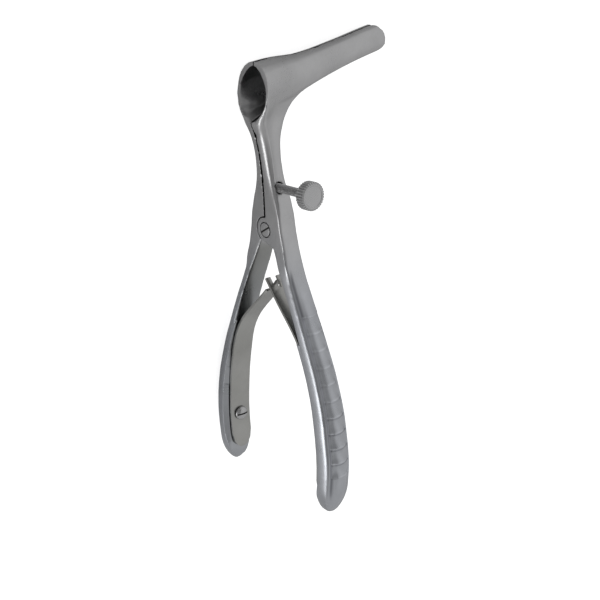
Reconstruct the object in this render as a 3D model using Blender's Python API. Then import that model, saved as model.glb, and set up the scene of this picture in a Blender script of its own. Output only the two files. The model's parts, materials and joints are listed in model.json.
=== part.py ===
# Long-bladed nasal speculum: two arms on a screwed half-lap pivot, each with a scalloped handle, a shank
# and half of a funnel and blade, held apart by two hooked leaf springs, with a thumb set screw in the
# right shank. It is laid down on its left side, as it comes to rest.
# The instrument's own frame has its origin on the pivot. X opens the arms, with the right arm at +X.
# -Y faces the user, who looks into the funnel's mouth, and Z runs from the handles up the shanks.

import math

import bmesh
import bpy
import numpy as np
from mathutils import Matrix, Vector

# The shapes are worked out in millimetres, where the Booleans are most exact, and kept in metres.
MM = 1.0
METRES = 0.001

# Clearances
seat_gap = 0.3 * MM            # between pieces that touch on the real one
seam_gap = 0.3 * MM            # between the closed blades and shanks
seam_overrun = 1.0 * MM        # how far shank and shell are built past the seam before it is cut

# Lock, where the arms lap on the pivot
lock_half_width = 7.0 * MM
lock_front_depth = 2.8 * MM    # mid-plane of the lap to the face toward the user
lock_rear_depth = 3.25 * MM
lobe_radius = 3.6 * MM         # round end of each half-lap
lobe_rise = 0.06 * MM          # how far a lobe stands proud of the lock's face
lobe_shoulder_x = 3.4 * MM     # where the lobe's straight lower edge meets the handle
lobe_shoulder_drop = 4.9 * MM
lobe_root_height = 2.5 * MM    # where the lobe's root meets the shank's flank
lobe_open_turn = 74.0          # degrees from X to the upper end of its free arc

# Handles
handle_length = 81.5 * MM      # pivot to handle end
handle_half_gap = 21.8 * MM    # mid-plane to a handle's flat inner face at its widest
handle_thickness = 5.4 * MM    # at the palm swell, along its edges
handle_half_depth = 4.4 * MM
handle_set = 0.45 * MM         # how far the grips lie toward the user from the mid-plane
handle_crown = 1.3 * MM        # bulge of the outer face over its edges
handle_end_length = 9.0 * MM   # length over which the end is rounded
neck_thickness = 3.2 * MM      # thinnest stretch below the lock
edge_radius = 0.9 * MM         # rounding of the handles' outer edges
lock_edge_radius = 0.5 * MM    # the same at the lock and down the shanks' rear
inner_edge_radius = 0.5 * MM
scallop_count = 10
scallop_pitch = 4.57 * MM
scallop_depth = 0.4 * MM
scallop_start = 22.6 * MM      # pivot to the first scallop

# Shanks
shank_half_width = 2.8 * MM    # at its rear edge, at the waist
shank_front_width = 3.45 * MM  # at its front edge, at the waist
shank_edge_radius = 1.95 * MM  # soft front edge of the shank
shank_half_depth = 3.1 * MM
waist_height = 21.5 * MM       # pivot to the waist
collar_half_width = 3.8 * MM   # shank beside the set screw
collar_reach = 3.8 * MM        # how far the collar runs above and below the screw
flute_depth = 0.6 * MM         # hollow down the shank's outer side
flute_lean = 0.75              # under 1 brings the hollow's deepest line nearer the front
relief_gap = 0.62 * MM         # gap between the shanks just above the lock
mouth_base_height = 30.3 * MM  # pivot to the lowest point of the mouth
mouth_reach = 6.0 * MM         # how far that point lies toward the user

# Funnel and blades
mouth_height = 16.8 * MM
mouth_half_width = 6.95 * MM
mouth_lean = 1.6 * MM          # how far the mouth's top lies behind its base
blade_lean = -1.4 * MM         # the same for the blades' cross sections
belly_height = 0.49            # where a cross section is widest, as a share of its height
opening_belly = 0.44           # the same for the opening at the mouth
blade_reach = 41.8 * MM        # pivot axis to the blade tips
blade_height = 7.7 * MM
blade_half_width = 3.1 * MM
blade_base_rise = 15.8 * MM    # how far the blades' lower edge climbs from the mouth's base
mouth_wall = 0.5 * MM
mouth_top_wall = 1.1 * MM
blade_wall = 0.9 * MM
mouth_point = 1.6              # under 2 makes the opening a pointed oval, with thick rims beside its ends
tip_radius_top = 5.2 * MM
tip_radius_bottom = 2.6 * MM
cutter_overrun = 2.0 * MM      # how far cutting shapes run past what they cut
steepest_rest = -0.8           # X of the outward normal that a resting face needs at least

# Pivot screw
pivot_stem_radius = 1.2 * MM
pivot_head_radius = 2.0 * MM
pivot_head_height = 0.9 * MM
pivot_head_proud = 0.15 * MM
pivot_slot_width = 0.5 * MM
pivot_slot_depth = 0.45 * MM
pivot_slot_turn = 30.0         # degrees from X
screw_rim = 0.12 * MM          # small bevel on screw edges

# Thumb set screw
set_height = 12.3 * MM         # pivot to its axis
set_stem_radius = 1.4 * MM
set_tip_standoff = 0.6 * MM    # stem end to the right arm's seam face
set_head_start = 15.5 * MM     # mid-plane to the underside of the disc
set_head_thickness = 3.0 * MM
set_head_radius = 4.0 * MM
knurl_count = 40
knurl_depth = 0.28 * MM
set_head_chamfer = 0.25 * MM

# Leaf springs
leaf_thickness = 0.75 * MM
leaf_half_width = 3.55 * MM    # at the handle
leaf_tip_half_width = 2.65 * MM
leaf_foot_drop = 76.5 * MM     # pivot to the leaf's pointed foot
leaf_point_length = 5.0 * MM
leaf_point_blunt = 0.02        # share of the point that is cut off
leaf_lift_drop = 41.0 * MM     # where the leaf leaves the handle's face
leaf_meet_drop = 16.6 * MM     # where the two leaves cross
leaf_meet_offset = 0.5 * MM    # how far to the right of the mid-plane they do
leaf_bend_pull = 0.42          # how roundly the leaf leaves the handle, as a share of its free length
leaf_arch = Vector((-0.06, -0.02))  # lean of the leaf's top from the straight line to the crossing
fork_overrun = 2.4 * MM        # prong length past the crossing
fork_slot_half_width = 1.1 * MM
fork_slot_length = 3.8 * MM
tongue_overrun = 2.3 * MM      # tongue length past the crossing
tongue_root = 2.2 * MM         # tongue's shoulder to the crossing
tongue_hook = 0.7 * MM         # how far the tongue's end bends over

# Spring screws
leaf_screw_drop = 65.0 * MM    # pivot to the screws' axes
leaf_screw_stem_radius = 1.0 * MM
leaf_screw_depth = 3.0 * MM    # thread length in the handle
leaf_screw_head_radius = 2.2 * MM
leaf_screw_head_height = 1.2 * MM
leaf_screw_edge_height = 0.35 * MM  # upright edge under the domed head
leaf_screw_slot_width = 0.5 * MM
leaf_screw_slot_depth = 0.5 * MM

# Web under the blades, where the shank sweeps back into them
web_height = 8.3 * MM          # how far it climbs behind the mouth's base
web_reach = 10.5 * MM          # how far it sweeps back
web_edge_width = 1.5 * MM      # mid-plane to its outer side at its top rear edge
mouth_cover = 0.12 * MM        # how far the shank's front stands before the lower rim
mouth_setback = 0.2 * MM       # how far it lies behind the rim at the web's top

# Fineness of the facets
merge_distance = 0.005 * MM
outer_corner_steps = 4
inner_corner_steps = 2
outer_face_steps = 6
scallop_steps = 3
shell_steps = 11
blade_steps = 18
round_steps = 32
screw_steps = 24


def material(name, colour, roughness):
    made = bpy.data.materials.new(name)
    made.use_nodes = True
    shader = made.node_tree.nodes["Principled BSDF"]
    shader.inputs["Base Color"].default_value = (*colour, 1.0)
    shader.inputs["Metallic"].default_value = 1.0
    shader.inputs["Roughness"].default_value = roughness
    return made


def rail(knots):
    # A smooth curve through (place, value) knots that never overshoots them.
    knots = sorted(knots)
    place = np.array([knot[0] for knot in knots])
    value = np.array([knot[1] for knot in knots])
    step = np.diff(place)
    slope = np.diff(value) / step
    tangent = np.concatenate([slope[:1], np.zeros(len(slope) - 1), slope[-1:]])
    for i in range(1, len(slope)):
        before, after = slope[i - 1], slope[i]
        if before * after > 0:
            tangent[i] = 2 * before * after / (before + after)

    def at(where):
        where = min(max(where, place[0]), place[-1])
        i = min(int(np.searchsorted(place, where, side="right")) - 1, len(step) - 1)
        t = (where - place[i]) / step[i]
        flat = value[i] * (1 + 2 * t) * (1 - t) ** 2 + value[i + 1] * t * t * (3 - 2 * t)
        return float(flat + step[i] * t * (1 - t) * (tangent[i] * (1 - t) - tangent[i + 1] * t))

    return at


def add_object(name, mesh_builder, look=None):
    # Flat triangles keep the Booleans exact on twisted quads.
    mesh = bpy.data.meshes.new(name)
    bmesh.ops.triangulate(mesh_builder, faces=mesh_builder.faces)
    bmesh.ops.recalc_face_normals(mesh_builder, faces=mesh_builder.faces)
    mesh_builder.to_mesh(mesh)
    mesh_builder.free()
    made = bpy.data.objects.new(name, mesh)
    bpy.context.scene.collection.objects.link(made)
    if look:
        mesh.materials.append(look)
    else:
        made.hide_render = True
        made.display_type = "WIRE"
    return made


def loft(sections):
    # Skins equal rings of points in order, and closes both ends.
    built = bmesh.new()
    rings = [[built.verts.new(point) for point in section] for section in sections]
    for lower, upper in zip(rings, rings[1:]):
        for i in range(len(lower)):
            j = (i + 1) % len(lower)
            built.faces.new((lower[i], lower[j], upper[j], upper[i]))
    built.faces.new(reversed(rings[0]))
    built.faces.new(rings[-1])
    return built


def turned(profile, steps=round_steps):
    # Revolves (radius, height) points about Z, with both ends on the axis.
    rings = []
    for radius, height in profile:
        turns = [math.tau * i / steps for i in range(steps)]
        rings.append([Vector((radius * math.cos(a), radius * math.sin(a), height)) for a in turns])
    return loft(rings)


def boolean(target, tool, operation):
    modifier = target.modifiers.new(tool.name, "BOOLEAN")
    modifier.operation = operation
    modifier.solver = "EXACT"
    modifier.object = tool


def shade_round(made):
    made.data.shade_smooth()
    made.data.set_sharp_from_angle(angle=math.radians(35))


def below(drop):
    return -drop


# Rails of the right arm. Each gives a size at a height z, negative below the pivot.
# The shares place the bends of the handle's sweep along its own length.
def handle_knots(shares):
    return [(below(share * handle_length), size) for share, size in shares]


inner_shares = [(0.125, 0.255), (0.225, 0.445), (0.375, 0.69), (0.5, 0.845)]
inner_shares += [(0.65, 0.955), (0.8, 1.0), (1.0, 0.95)]

inner_face = rail(
    handle_knots((share, reach * handle_half_gap) for share, reach in inner_shares)
    + [(below(lobe_shoulder_drop), 0.92 * lobe_shoulder_x), (0.0, seam_gap / 2)]
)

edge_thickness = rail(
    handle_knots(
        [
            (0.225, neck_thickness),
            (0.36, 1.06 * neck_thickness),
            (0.5, 0.78 * handle_thickness),
            (0.65, 0.95 * handle_thickness),
            (0.8, handle_thickness),
            (0.9, 0.95 * handle_thickness),
            (1.0, 0.86 * handle_thickness),
        ]
    )
    + [(below(lobe_shoulder_drop), 1.2 * lock_half_width - lobe_shoulder_x), (0.0, lock_half_width)]
)

web_top = mouth_base_height + web_height
lobe_top = 1.28 * lobe_radius
collar_start = set_height - collar_reach
collar_end = set_height + collar_reach


def beside_web(share):
    return mouth_base_height + share * web_height


front_width = rail(
    [
        (0.0, lock_half_width),
        (lobe_top, 0.92 * lock_half_width),
        (collar_start, 0.78 * lock_half_width),
        (set_height, 1.14 * collar_half_width),
        (collar_end, 1.08 * shank_front_width),
        (waist_height, shank_front_width),
        (0.87 * mouth_base_height, 1.03 * shank_front_width),
        (mouth_base_height, 0.59 * mouth_half_width),
        (beside_web(0.2), 0.67 * mouth_half_width),
        (beside_web(0.36), 0.8 * mouth_half_width),
        (beside_web(0.7), 0.96 * mouth_half_width),
        (web_top, 0.98 * mouth_half_width),
    ]
)

rear_width = rail(
    [
        (0.0, lock_half_width),
        (lobe_top, 0.9 * lock_half_width),
        (collar_start, 0.76 * lock_half_width),
        (set_height, collar_half_width),
        (collar_end, 0.4 * collar_half_width + 0.6 * shank_half_width),
        (waist_height, shank_half_width),
        (0.9 * mouth_base_height, shank_half_width),
        (mouth_base_height, 0.9 * shank_half_width),
        (web_top, web_edge_width),
    ]
)

mouth_slope = mouth_lean / mouth_height
covered_rim = mouth_reach + mouth_cover

front_reach = rail(
    handle_knots(
        [
            (0.125, 1.18 * lock_front_depth),
            (0.5, 0.96 * handle_half_depth),
            (0.7, handle_half_depth + handle_set),
        ]
    )
    + [
        (below(lobe_shoulder_drop), lock_front_depth),
        (collar_start, lock_front_depth),
        (set_height, 0.95 * shank_half_depth),
        (waist_height, 1.22 * shank_half_depth),
        (0.86 * mouth_base_height, 0.78 * mouth_reach),
        (0.95 * mouth_base_height, 0.92 * mouth_reach),
        (mouth_base_height, covered_rim),
        (beside_web(0.7), covered_rim - 0.7 * web_height * mouth_slope),
        (web_top, mouth_reach - mouth_setback - web_height * mouth_slope),
    ]
)

rear_reach = rail(
    handle_knots(
        [
            (0.125, 1.06 * lock_rear_depth),
            (0.5, 0.92 * handle_half_depth),
            (0.7, handle_half_depth - handle_set),
        ]
    )
    + [
        (below(lobe_shoulder_drop), lock_rear_depth),
        (lobe_top, lock_rear_depth),
        (set_height, shank_half_depth),
        (0.61 * mouth_base_height, 0.83 * shank_half_depth),
        (0.8 * mouth_base_height, 0.78 * shank_half_depth),
        (0.98 * mouth_base_height, 1.16 * shank_half_depth),
        (beside_web(0.31), shank_half_depth + 0.21 * web_reach),
        (beside_web(0.68), shank_half_depth + 0.52 * web_reach),
        (web_top, shank_half_depth + web_reach),
    ]
)

crown_shares = [(0.12, 0.1), (0.3, 0.7), (0.45, 1.0)]
crown = rail(handle_knots((share, size * handle_crown) for share, size in crown_shares) + [(0.0, 0.0)])

rear_radius = rail(handle_knots([(0.12, lock_edge_radius), (0.4, edge_radius)]) + [(0.0, lock_edge_radius)])

front_radius = rail(
    handle_knots([(0.12, lock_edge_radius), (0.4, edge_radius)])
    + [
        (0.0, lock_edge_radius),
        (collar_start, 0.5 * shank_edge_radius),
        (waist_height, shank_edge_radius),
        (mouth_base_height, shank_edge_radius),
        (beside_web(0.2), 0.75 * shank_edge_radius),
        (beside_web(0.36), 0.5 * shank_edge_radius),
        (beside_web(0.7), 0.3 * shank_edge_radius),
        (web_top, lock_edge_radius),
    ]
)

flute = rail(
    [
        (0.75 * set_height, 0.0),
        (set_height, flute_depth),
        (mouth_base_height, flute_depth),
        (web_top, 0.3 * flute_depth),
    ]
)

# Half of the gap between the arms. The shanks are relieved so that the blades close first.
seam_half = rail(
    [
        (0.6 * lobe_radius, seam_gap / 2),
        (lobe_radius, relief_gap / 2),
        (collar_start, relief_gap / 2),
        (0.9 * mouth_base_height, seam_gap / 2),
    ]
)


def scallop(z):
    # Shallow thumb grooves across the outer face, meeting at low ridges.
    along = (-z - scallop_start) / scallop_pitch
    if not 0 < along < scallop_count:
        return 0.0
    within = along - math.floor(along)
    return scallop_depth * (1 - (2 * within - 1) ** 2)


def arc(centre, radius, start, end, steps):
    turns = np.linspace(math.radians(start), math.radians(end), steps + 1)
    return [(centre[0] + radius * math.cos(a), centre[1] + radius * math.sin(a)) for a in turns]


def arm_section(z, shrink=1.0):
    # One level ring of the right arm, from the inner front corner round by the outer face.
    if z < 0:
        inner = inner_face(z)
        outer = rear_outer = inner + edge_thickness(z)
    else:
        inner = -seam_overrun
        outer = front_width(z)
        rear_outer = rear_width(z)
    front = -front_reach(z)
    rear = rear_reach(z)
    middle = Vector((0.5 * (inner + outer), 0.5 * (front + rear)))
    front_edge = min(front_radius(z), 0.45 * (outer - inner))
    rear_edge = min(rear_radius(z), 0.3 * (rear_outer - inner))
    small = min(inner_edge_radius, 0.2 * (rear_outer - inner))
    ring = arc((inner + small, front + small), small, 180, 270, inner_corner_steps)
    ring += arc((outer - front_edge, front + front_edge), front_edge, 270, 360, outer_corner_steps)
    low, high = front + front_edge, rear - rear_edge
    for i in range(1, outer_face_steps):
        u = i / outer_face_steps
        swell = 4 * u * (1 - u)
        hollow = scallop(z) * min(1.0, 1.6 * swell) + flute(z) * math.sin(math.pi * u ** flute_lean) ** 2
        ring.append((outer + u * (rear_outer - outer) + crown(z) * swell - hollow, low + u * (high - low)))
    ring += arc((rear_outer - rear_edge, rear - rear_edge), rear_edge, 0, 90, outer_corner_steps)
    ring += arc((inner + small, rear - small), small, 90, 180, inner_corner_steps)
    return [(middle + shrink * (Vector(point) - middle)).to_3d() + Vector((0, 0, z)) for point in ring]


def arm_levels():
    # Heights of the rings, from the rounded end's start to the web's top: close over the scallops, the
    # lock's shoulder and the set screw's collar.
    end_start = handle_length - handle_end_length
    rows = range(scallop_steps * scallop_count + 1)
    drops = [scallop_start + scallop_pitch * i / scallop_steps for i in rows]
    drops = [drop for drop in drops if drop < end_start - scallop_depth]
    drops += list(np.linspace(lobe_shoulder_drop, scallop_start, 8)[:-1])
    levels = [below(drop) for drop in drops] + [below(0.5 * lobe_shoulder_drop), 0.0, lobe_top]
    levels += list(np.linspace(collar_start, collar_end, 7))
    levels += list(np.linspace(collar_end, mouth_base_height, 8)[1:])
    levels += list(np.linspace(mouth_base_height, web_top, 6)[1:])
    return sorted(levels)


def arm_body(name, side):
    end_start = handle_length - handle_end_length
    sections = []
    for degrees in (81, 70, 58, 46, 34, 22, 11, 0):
        turn = math.radians(degrees)
        sections.append(arm_section(below(end_start + handle_end_length * math.sin(turn)), math.cos(turn)))
    sections += [arm_section(z) for z in arm_levels()]
    return add_object(name, loft([[mirrored(point, side) for point in ring] for ring in sections]))


def mirrored(point, side):
    return Vector((side * point.x, point.y, point.z))


# Rails of the funnel and blade, by distance along Y. The shares run from the mouth to the tips.
blade_start = -mouth_reach


def blade_knots(shares):
    return [(blade_start + share * (blade_reach - blade_start), size) for share, size in shares]


def swept(end_size, mouth_size, shares):
    # From the mouth's size, a share of 1, to the blade's, a share of 0.
    return rail(blade_knots((place, end_size + share * (mouth_size - end_size)) for place, share in shares))


base_shares = [(0.0, 1.0), (0.12, 0.82), (0.24, 0.68), (0.375, 0.53), (0.52, 0.375), (0.7, 0.21)]
height_shares = [(0.0, 1.0), (0.1, 0.79), (0.22, 0.565), (0.36, 0.305), (0.55, 0.1), (0.75, 0.012)]
width_shares = [(0.0, 1.0), (0.12, 0.78), (0.25, 0.5), (0.4, 0.27), (0.6, 0.1)]

base_height = swept(
    mouth_base_height + blade_base_rise, mouth_base_height, [*base_shares, (0.9, 0.063), (1.0, 0.0)]
)
section_height = swept(blade_height, mouth_height, [*height_shares, (1.0, 0.0)])
section_width = swept(blade_half_width, mouth_half_width, [*width_shares, (1.0, 0.0)])
section_lean = rail(
    blade_knots([(0.0, mouth_lean), (0.12, 0.6 * mouth_lean), (0.53, blade_lean), (1.0, blade_lean)])
)

# 2 is an ellipse, more is boxier and less is pointed.
blade_squareness = [(0.41, 2.3), (0.7, 2.8), (1.0, 2.8)]
section_squareness = rail(blade_knots([(0.0, 2.1), *blade_squareness]))
base_squareness = rail(blade_knots([(0.0, mouth_point), (0.25, 2.1), *blade_squareness]))
cavity_squareness = rail(blade_knots([(0.0, mouth_point), (0.2, 2.1), *blade_squareness]))
cavity_belly = rail(blade_knots([(0.0, opening_belly), (0.3, belly_height)]))
wall = rail(blade_knots([(0.0, mouth_wall), (0.3, 0.5 * (mouth_wall + blade_wall)), (0.6, blade_wall)]))
top_wall = rail(blade_knots([(0.0, mouth_top_wall), (0.6, blade_wall)]))


def section_top(y):
    return base_height(y) + section_height(y)


def shell_section(y, hollow=False, ahead=0.0):
    # Half of an egg-shaped ring, upright on its pointed base, cut flat past the seam. A hollow one is
    # the cavity's, inset by the walls.
    inset, top_inset = (wall(y), top_wall(y)) if hollow else (0.0, 0.0)
    above, beneath = (rate(y) for rate in (section_squareness, base_squareness))
    if hollow:
        above = beneath = cavity_squareness(y)
    belly = cavity_belly(y) if hollow else belly_height
    plane_x = -2 * seam_overrun if hollow else -seam_overrun
    low = base_height(y) + inset
    tall = section_height(y) - inset - top_inset
    wide = section_width(y) - inset - seam_gap / 2
    lean = section_lean(y) / section_height(y)
    foot_y = y + inset * lean + ahead
    ring = []
    for i in range(shell_steps + 1):
        turn = math.radians(90 - 180 * i / shell_steps)
        power = 2 / (above if turn > 0 else beneath)
        across, along = (abs(part) ** power for part in (math.cos(turn), math.sin(turn)))
        rise = belly + (1 - belly) * along if turn > 0 else belly - belly * along
        ring.append(Vector((seam_gap / 2 + wide * across, foot_y + lean * tall * rise, low + tall * rise)))
    first, last = ring[0], ring[-1]
    return [Vector((plane_x, first.y, first.z)), *ring, Vector((plane_x, last.y, last.z))]


def blade_stations():
    return np.linspace(blade_start, blade_reach, blade_steps + 1)


def untrimmed_end(hollow, run):
    # The last ring moved on along the blade, past the rounded tip.
    last, before = (shell_section(y, hollow) for y in (blade_reach, blade_reach - run))
    return [point + (point - earlier) for point, earlier in zip(last, before)]


def funnel_shell(name, side):
    sections = [shell_section(y) for y in blade_stations()]
    sections.append(untrimmed_end(False, cutter_overrun))
    return add_object(name, loft([[mirrored(point, side) for point in ring] for ring in sections]))


def funnel_cavity(name, side):
    sections = [shell_section(blade_start, True, -cutter_overrun)]
    # The first ring inside lies just behind the shell's mouth, so no two faces share a plane there.
    sections += [shell_section(y, True) for y in (blade_start + seam_gap, *blade_stations()[1:])]
    sections.append(untrimmed_end(True, 2 * cutter_overrun))
    return add_object(name, loft([[mirrored(point, side) for point in ring] for ring in sections]))


def tip_outline(name):
    # Side view of the blade with its rounded end, as a prism that trims the shell.
    low, high = base_height(blade_reach), section_top(blade_reach)
    top = Vector((blade_reach - tip_radius_top, high - tip_radius_top))
    bottom = Vector((blade_reach - tip_radius_bottom, low + tip_radius_bottom))
    rise = math.degrees(math.atan2(high - section_top(top.x), tip_radius_top))
    fall = math.degrees(math.atan2(low - base_height(bottom.x), tip_radius_bottom))
    above, beneath = high + mouth_height, mouth_base_height - mouth_height
    behind = blade_start - mouth_height
    outline = [(behind, above), (top.x - tip_radius_bottom, above)]
    outline += arc(top, tip_radius_top, 90 + rise, 0, 8)
    outline += arc(bottom, tip_radius_bottom, 0, fall - 90, 6)[1:]
    outline += [(bottom.x - tip_radius_bottom, beneath), (behind, beneath)]
    half = 2 * mouth_half_width
    return add_object(name, loft([[Vector((x, y, z)) for y, z in outline] for x in (-half, half)]))


front_face = lock_front_depth + lobe_rise
rear_face = lock_rear_depth + lobe_rise


def lock_lobe(name, side, front):
    # The round end of a half-lap, with the web that ties it to its own arm.
    lap = seam_gap / 2 + lobe_rise
    span = (-front_face, -lap) if front else (lap, rear_face)
    shoulder = Vector((lobe_shoulder_x, -lobe_shoulder_drop))
    reach = math.sqrt(shoulder.length_squared - lobe_radius ** 2)
    tangent_turn = math.degrees(math.atan2(shoulder.y, shoulder.x) - math.atan2(reach, lobe_radius))
    outline = arc((0, 0), lobe_radius, lobe_open_turn, 360 + tangent_turn, 21)
    root_x = 0.8 * lock_half_width
    outline += [
        tuple(shoulder),
        (root_x, -0.8 * lobe_shoulder_drop),
        (root_x, 0.0),
        (0.5 * lock_half_width, lobe_root_height),
    ]
    rings = [[Vector((side * x, y, z)) for x, z in outline] for y in span]
    return add_object(name, loft(rings))


def cylinder_along(name, axis, centre, radius, start, end, steps=round_steps):
    built = turned([(radius, start), (radius, end)], steps)
    turn = {"X": Matrix.Rotation(math.pi / 2, 4, "Y"), "Y": Matrix.Rotation(-math.pi / 2, 4, "X")}[axis]
    bmesh.ops.transform(built, matrix=Matrix.Translation(centre) @ turn, verts=built.verts)
    return add_object(name, built)


def seam_side(name, side):
    # All that lies past this arm's side of the seam.
    far = 2 * handle_length
    corners = ((-1, -far), (1, -far), (1, far), (-1, far))
    heights = [-far, *np.linspace(0.6 * lobe_radius, lobe_radius, 3)]
    heights += [*np.linspace(collar_start, 0.9 * mouth_base_height, 5), far]
    sections = []
    for z in heights:
        inner, outer = -far, seam_half(z)
        sections.append([Vector((side * (outer if end > 0 else inner), y, z)) for end, y in corners])
    return add_object(name, loft(sections))


def build_arm(side, steel):
    name = "right" if side > 0 else "left"
    front = side > 0
    arm = arm_body(f"{name}_arm", side)
    arm.hide_render = False
    arm.display_type = "TEXTURED"
    arm.data.materials.append(steel)
    shell = funnel_shell(f"{name}_shell", side)
    boolean(shell, bpy.data.objects["tip_outline"], "INTERSECT")
    boolean(arm, shell, "UNION")
    boolean(arm, funnel_cavity(f"{name}_cavity", side), "DIFFERENCE")
    boolean(arm, seam_side(f"{name}_seam_side", side), "DIFFERENCE")
    far = 2 * handle_half_depth
    span = (-seam_gap / 2, far) if front else (-far, seam_gap / 2)
    recess = cylinder_along(f"{name}_recess", "Y", Vector(), lobe_radius + seat_gap, *span)
    boolean(arm, recess, "DIFFERENCE")
    boolean(arm, lock_lobe(f"{name}_lobe", side, front), "UNION")
    bore_radius = pivot_stem_radius + seat_gap
    bore = cylinder_along(f"{name}_pivot_bore", "Y", Vector(), bore_radius, -far, far, screw_steps)
    boolean(arm, bore, "DIFFERENCE")
    if front:
        sink_floor = pivot_head_height - pivot_head_proud + seat_gap - front_face
        sink_radius = pivot_head_radius + seat_gap
        sink = cylinder_along("pivot_counterbore", "Y", Vector(), sink_radius, -far, sink_floor)
        boolean(arm, sink, "DIFFERENCE")
        on_axis = Vector((0.0, 0.0, set_height))
        thread_radius = set_stem_radius + seat_gap
        set_bore = cylinder_along("set_bore", "X", on_axis, thread_radius, -far, far, screw_steps)
        boolean(arm, set_bore, "DIFFERENCE")
    hole = leaf_screw_bore(f"{name}_screw_hole", side, cutter_overrun, leaf_screw_depth + seat_gap)
    boolean(arm, hole, "DIFFERENCE")
    return arm


def leaf_screw_bore(name, side, inward, outward):
    # Runs inward and outward from the handle's inner face at the spring screw's height.
    face = inner_face(below(leaf_screw_drop))
    span = sorted((side * (face - inward), side * (face + outward)))
    centre = Vector((0.0, 0.0, below(leaf_screw_drop)))
    return cylinder_along(name, "X", centre, leaf_screw_stem_radius + seat_gap, *span, screw_steps)


def leaf_path(side):
    # Middle line of a leaf from its foot up to the crossing, as (x, z) points, and its last heading.
    standoff = seat_gap + 0.5 * leaf_thickness
    point_end = leaf_foot_drop - leaf_point_length
    drops = [leaf_foot_drop - leaf_point_length * share for share in (0.0, 0.06, 0.2, 0.45)]
    drops += list(np.linspace(point_end, leaf_lift_drop, 8))
    line = [Vector((inner_face(below(drop)) - standoff, below(drop))) for drop in drops]
    start, finish = line[-1], Vector((side * leaf_meet_offset, below(leaf_meet_drop)))
    pull = leaf_bend_pull * (finish - start).length
    leave = start + (line[-1] - line[-2]).normalized() * pull
    heading = ((finish - start).normalized() + leaf_arch).normalized()
    arrive = finish - heading * pull
    for t in np.linspace(0.0, 1.0, 13)[1:]:
        early, late = 1 - t, t
        curve = start * early ** 3 + leave * (3 * late * early ** 2) + arrive * (3 * late ** 2 * early)
        line.append(curve + finish * late ** 3)
    return line, heading


def leaf_widths(line):
    # Half widths along the leaf: a blunt point at the foot, then an even stretch, then a taper.
    gone = np.concatenate([[0.0], np.cumsum([(b - a).length for a, b in zip(line, line[1:])])])
    taper_start = leaf_foot_drop - leaf_lift_drop
    widths = []
    for run in gone:
        foot = min(1.0, leaf_point_blunt + run / leaf_point_length)
        taper = max(0.0, (run - taper_start) / (gone[-1] - taper_start))
        width = leaf_half_width + taper * (leaf_tip_half_width - leaf_half_width)
        widths.append(width * math.sqrt(1 - (1 - foot) ** 2))
    return widths


def leaf_end(line, heading, forked):
    # Rows past the leaf's body: two prongs are cut from the fork later, and the tongue is narrow and hooked.
    crossing = line[-1]
    if forked:
        return [(crossing + heading * fork_overrun, leaf_tip_half_width)]
    narrow = fork_slot_half_width - seat_gap
    root = crossing - heading * tongue_root
    shoulder = seat_gap * heading / 10
    rows = [(root - shoulder, leaf_tip_half_width), (root, narrow), (crossing, narrow)]
    rows.append((crossing + heading * (0.5 * tongue_overrun), narrow))
    for lean, reach in ((0.5, 0.25), (1.4, 0.25)):
        over = Vector((heading.x, heading.y - lean * tongue_hook / tongue_overrun)).normalized()
        rows.append((rows[-1][0] + over * (reach * tongue_overrun), narrow))
    return rows


def build_spring(side, steel):
    name = "right" if side > 0 else "left"
    forked = side > 0
    line, heading = leaf_path(side)
    rows = list(zip(line, leaf_widths(line)))
    if not forked:
        root = (line[-1] - heading * tongue_root).y
        rows = [row for row in rows if row[0].y < root - leaf_thickness]
    rows += leaf_end(line, heading, forked)
    places = [place for place, width in rows]
    sections = []
    for i, (place, width) in enumerate(rows):
        ahead = (places[min(i + 1, len(places) - 1)] - places[max(i - 1, 0)]).normalized()
        across = Vector((-ahead.y, ahead.x)) * (0.5 * leaf_thickness)
        corners = [(place + across * t, w * width) for t, w in ((-1, -1), (1, -1), (1, 1), (-1, 1))]
        sections.append([Vector((side * edge.x, y, edge.y)) for edge, y in corners])
    leaf = add_object(f"{name}_spring", loft(sections), steel)
    if forked:
        tip = places[-1]
        turn = Matrix.Rotation(math.atan2(heading.x, heading.y), 4, "Y")
        place = Matrix.Translation((tip.x, 0.0, tip.y)) @ turn
        size = (4 * leaf_thickness, 2 * fork_slot_half_width, 2 * fork_slot_length)
        boolean(leaf, block("fork_slot", size, place), "DIFFERENCE")
    hole = leaf_screw_bore(f"{name}_leaf_hole", side, leaf_thickness + cutter_overrun, cutter_overrun)
    boolean(leaf, hole, "DIFFERENCE")
    return leaf


def block(name, size, place):
    built = bmesh.new()
    bmesh.ops.create_cube(built, size=1.0)
    bmesh.ops.transform(built, matrix=place @ Matrix.Diagonal((*size, 1.0)), verts=built.verts)
    return add_object(name, built)


def build_pivot_screw(steel):
    front = front_face + pivot_head_proud
    underside = front - pivot_head_height
    profile = [
        (0.3 * pivot_stem_radius, -rear_face),
        (pivot_stem_radius - screw_rim, -rear_face),
        (pivot_stem_radius, screw_rim - rear_face),
        (pivot_stem_radius, underside),
        (pivot_head_radius, underside),
        (pivot_head_radius, front - screw_rim),
        (pivot_head_radius - screw_rim, front),
        (0.3 * pivot_head_radius, front),
    ]
    built = turned(profile)
    to_front = Matrix.Rotation(math.pi / 2, 4, "X")
    bmesh.ops.transform(built, matrix=to_front, verts=built.verts)
    screw = add_object("pivot_screw", built, steel)
    turn = Matrix.Rotation(math.radians(pivot_slot_turn), 4, "Z")
    place = to_front @ turn @ Matrix.Translation((0.0, 0.0, front))
    size = (3 * pivot_head_radius, pivot_slot_width, 2 * pivot_slot_depth)
    boolean(screw, block("pivot_slot", size, place), "DIFFERENCE")
    return screw


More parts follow.
